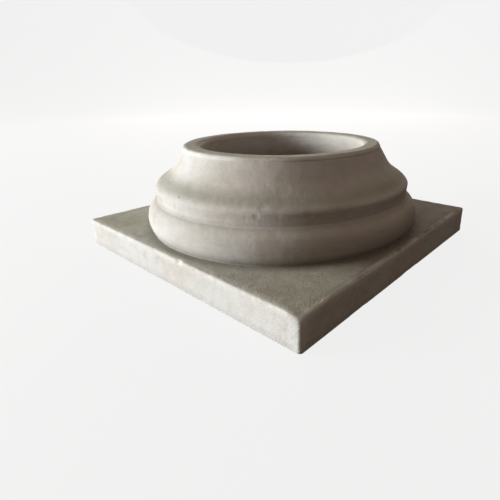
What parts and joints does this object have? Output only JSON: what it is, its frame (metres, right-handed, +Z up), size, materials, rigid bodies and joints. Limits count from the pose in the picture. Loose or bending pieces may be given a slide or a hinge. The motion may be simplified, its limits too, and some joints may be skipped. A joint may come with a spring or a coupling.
{
  "type": "column base",
  "caption": "Hollow cast-stone column base: square plinth with a round, two-torus base moulding and a through hole for a post.",
  "frame": {"origin": "centre of the plinth's underside, on the axis of the post hole", "axes": "+Z up along the post hole, X and Y square to the plinth's sides"},
  "size_m": [0.45, 0.45, 0.1625],
  "materials": {
    "cast_stone": "matt, lightly pitted pale grey cast stone"
  },
  "bodies": {
    "root": {"column_base": "cast_stone"}
  },
  "joints": []
}
